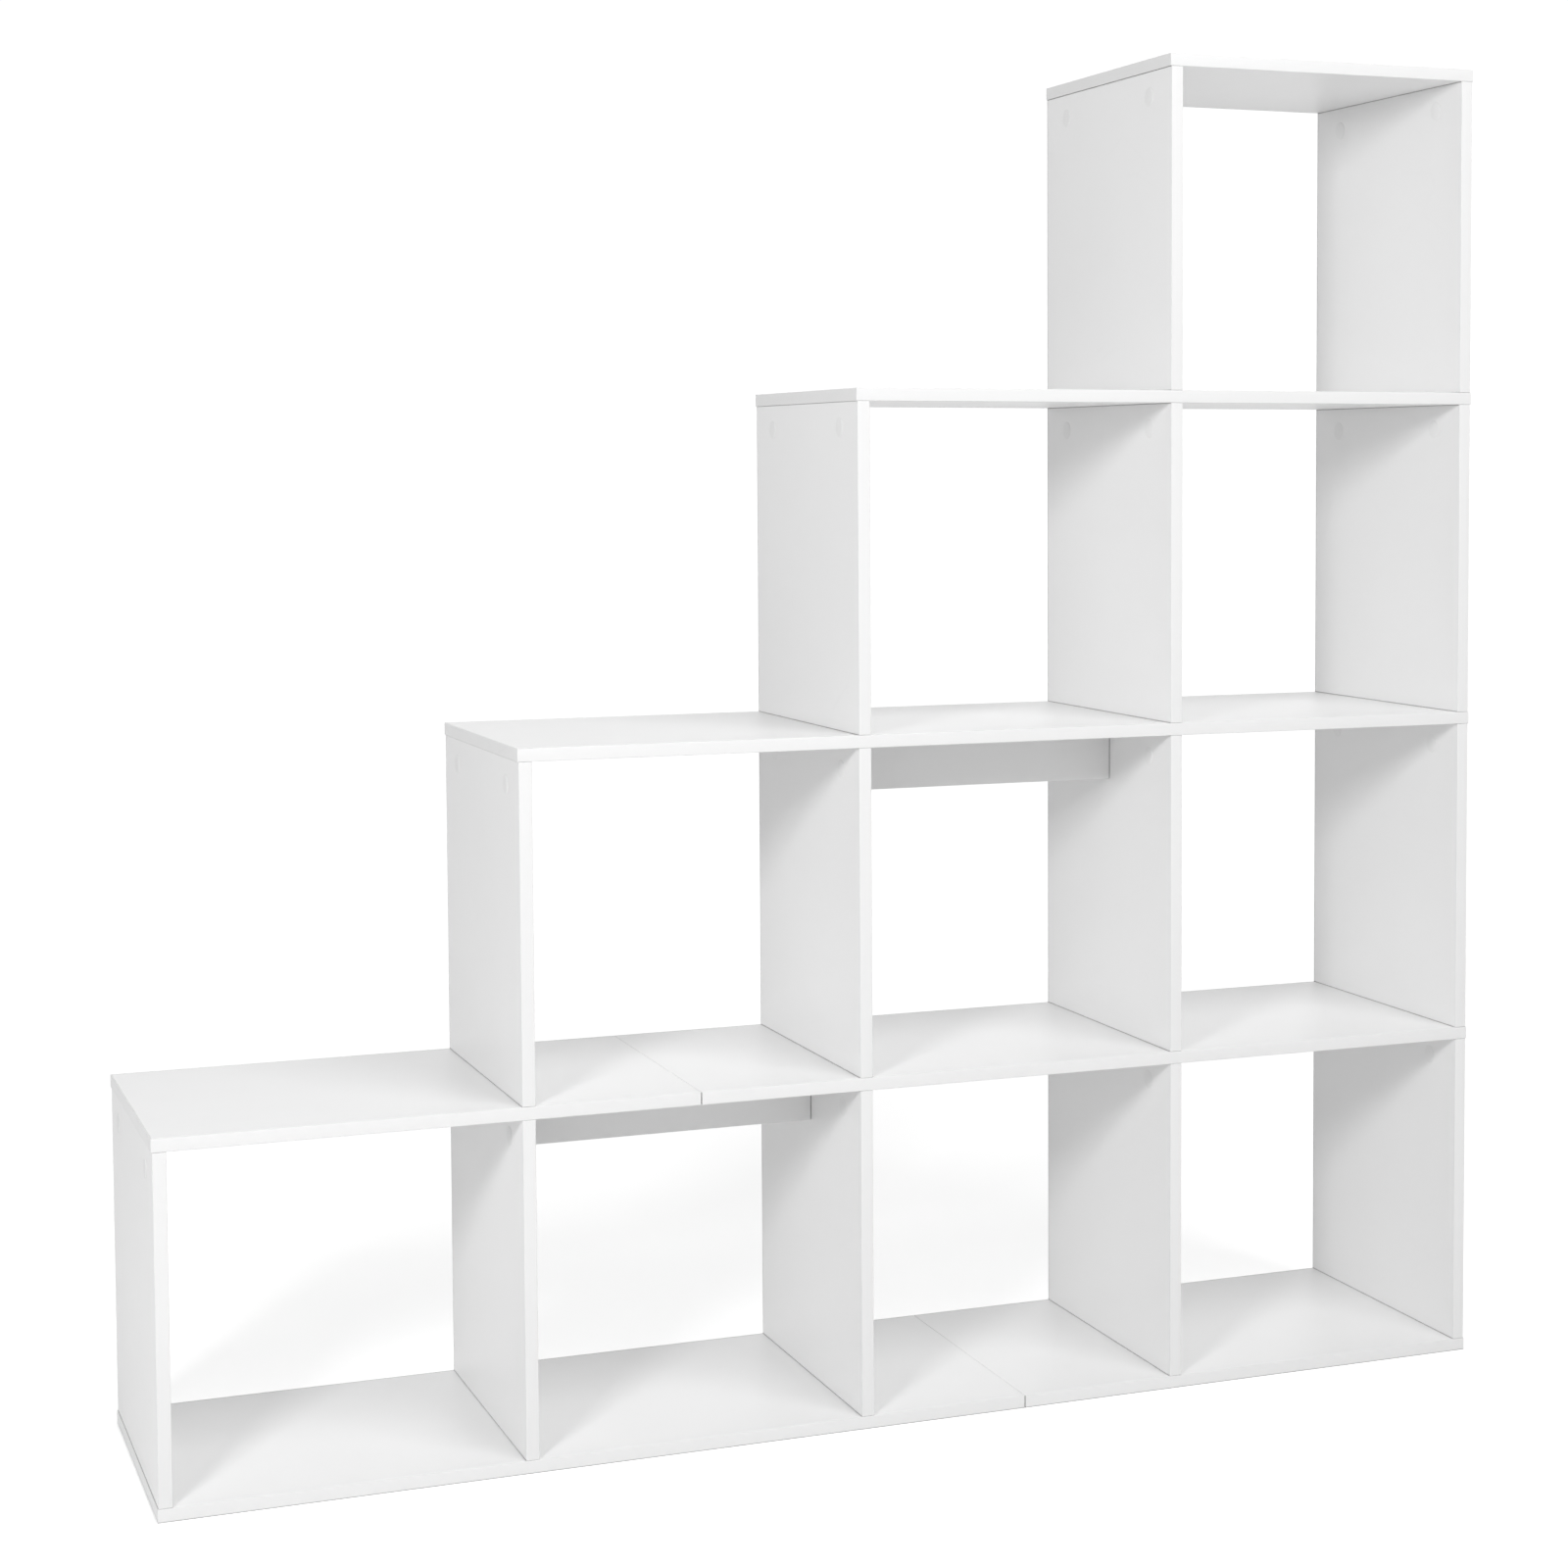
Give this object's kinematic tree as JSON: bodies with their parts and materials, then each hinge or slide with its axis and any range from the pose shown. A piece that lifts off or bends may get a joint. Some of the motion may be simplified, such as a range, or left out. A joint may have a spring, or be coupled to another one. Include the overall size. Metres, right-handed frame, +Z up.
{
  "type": "cube bookshelf",
  "caption": "Open-backed stepped cube shelving unit of white melamine panels, held by cam locks, bolts, dowels and screws.",
  "frame": {"origin": "middle of the whole unit's bounding box, on the floor", "axes": "+Z up, +X along the width towards the tall end, +Y from the front to the back"},
  "size_m": [1.294, 0.295, 1.292],
  "materials": {
    "board_melamine": "white melamine on particle board, satin",
    "upright_melamine": "white melamine on particle board, satin",
    "rail_melamine": "white melamine on particle board, satin",
    "edge_band": "white plastic edge band, satin",
    "cam_metal": "die-cast zinc, matt grey",
    "cover_film": "white film, matt",
    "bolt_steel": "zinc-plated steel",
    "screw_steel": "zinc-plated steel",
    "dowel_wood": "plain beech"
  },
  "bodies": {
    "root": {"bottom_board_left": "board_melamine", "bottom_board_right": "board_melamine", "first_shelf_left": "board_melamine", "first_shelf_right": "board_melamine", "second_shelf": "board_melamine", "third_shelf": "board_melamine", "top_board": "board_melamine", "upright_row1_line1": "upright_melamine", "upright_row1_line2": "upright_melamine", "upright_row1_line3": "upright_melamine", "upright_row1_line4": "upright_melamine", "upright_row1_line5": "upright_melamine", "upright_row2_line2": "upright_melamine", "upright_row2_line3": "upright_melamine", "upright_row2_line4": "upright_melamine", "upright_row2_line5": "upright_melamine", "upright_row3_line3": "upright_melamine", "upright_row3_line4": "upright_melamine", "upright_row3_line5": "upright_melamine", "upright_row4_line4": "upright_melamine", "upright_row4_line5": "upright_melamine", "first_shelf_rail": "rail_melamine", "second_shelf_rail": "rail_melamine", "upright_front_bands": "edge_band", "upright_back_bands": "edge_band", "board_front_bands": "edge_band", "board_back_bands": "edge_band", "board_end_bands": "edge_band", "end_dowels": "dowel_wood", "through_dowels": "dowel_wood", "seam_dowels": "dowel_wood", "rail_dowels": "dowel_wood", "cam_locks": "cam_metal", "cam_covers": "cover_film", "short_cam_bolts": "bolt_steel", "long_cam_bolts": "bolt_steel", "foot_screws": "screw_steel"}
  },
  "joints": []
}
